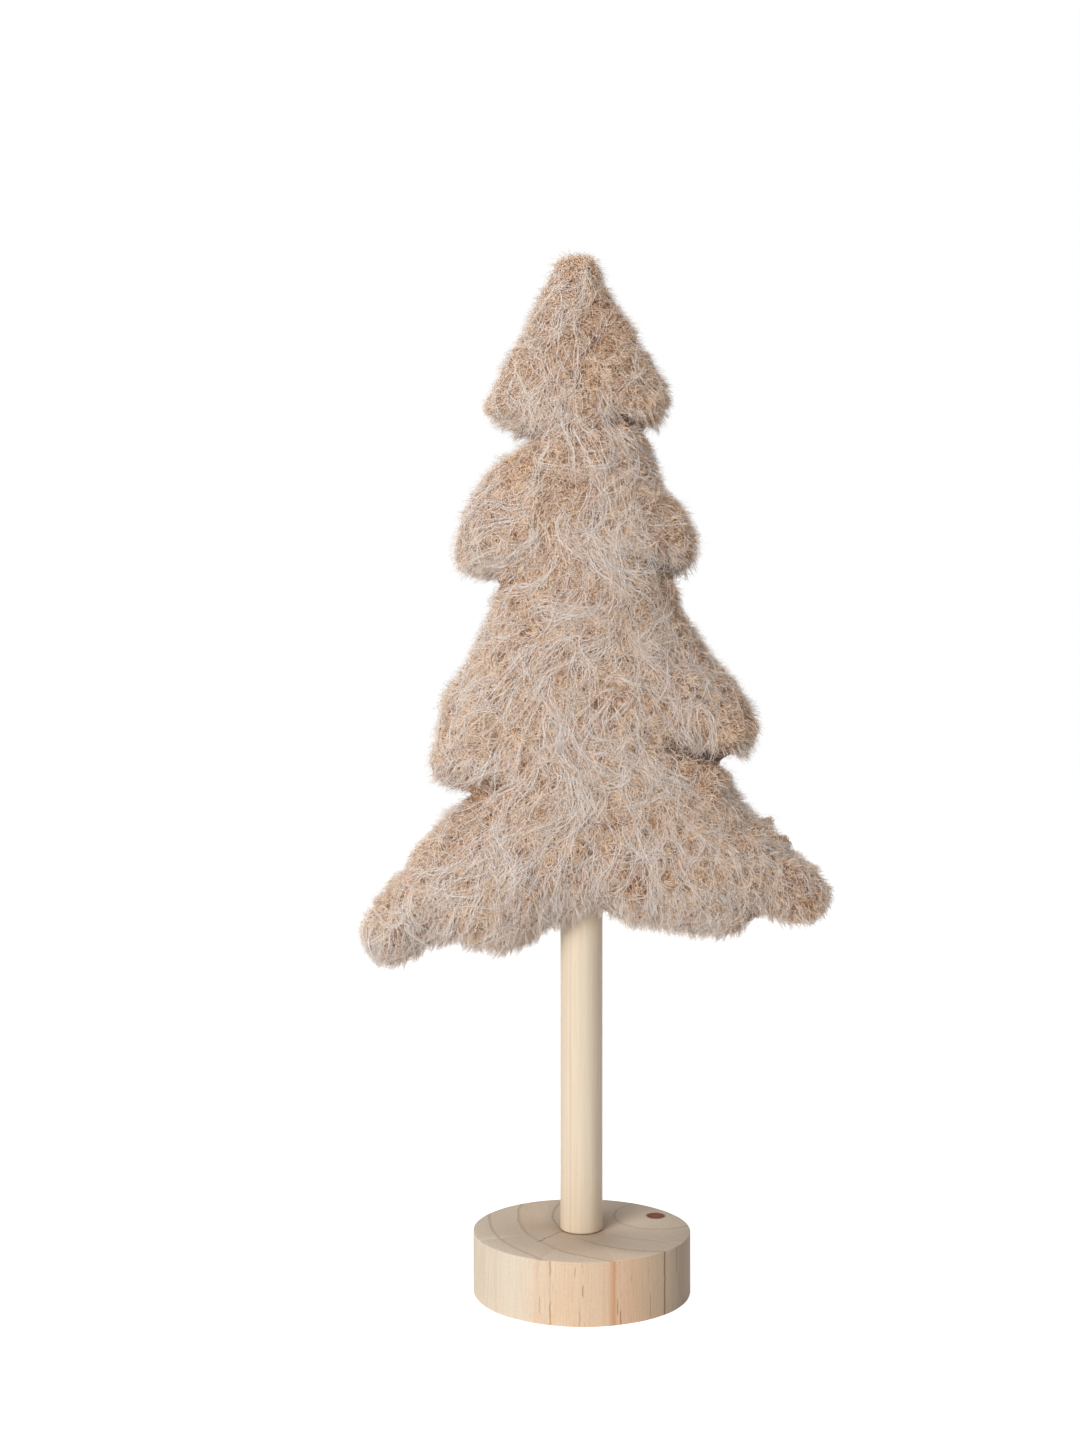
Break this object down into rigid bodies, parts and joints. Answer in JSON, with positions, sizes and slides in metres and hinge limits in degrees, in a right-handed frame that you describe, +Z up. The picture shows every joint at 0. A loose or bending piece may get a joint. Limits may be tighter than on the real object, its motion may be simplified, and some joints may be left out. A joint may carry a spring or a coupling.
{
  "type": "plush tree ornament",
  "caption": "Standing ornament: a flat stuffed fir tree of shaggy pile fabric with tiered, rounded branches, on a wooden dowel and a round wooden base.",
  "frame": {"origin": "centre of the underside of the base disc, where the tree rests", "axes": "+Z up along the dowel, +X to the right of the tree's front, +Y away from the front, so the flat tree faces -Y"},
  "size_m": [0.1719, 0.082, 0.39],
  "materials": {
    "pile_fabric": "shaggy pinkish beige pile with long pale guard hairs",
    "fibre_filling": "white fibre fill",
    "dowel_wood": "smooth pale untreated dowel",
    "base_wood": "sanded untreated softwood with growth rings",
    "screw_steel": "zinc plated"
  },
  "bodies": {
    "root": {"front_panel": "pile_fabric", "back_panel": "pile_fabric", "top_tier_filling": "fibre_filling", "second_tier_filling": "fibre_filling", "third_tier_filling": "fibre_filling", "bottom_tier_filling": "fibre_filling", "left_tip_filling": "fibre_filling", "right_tip_filling": "fibre_filling", "left_hem_filling": "fibre_filling", "right_hem_filling": "fibre_filling", "dowel": "dowel_wood", "base_disc": "base_wood", "base_screw": "screw_steel"}
  },
  "joints": []
}
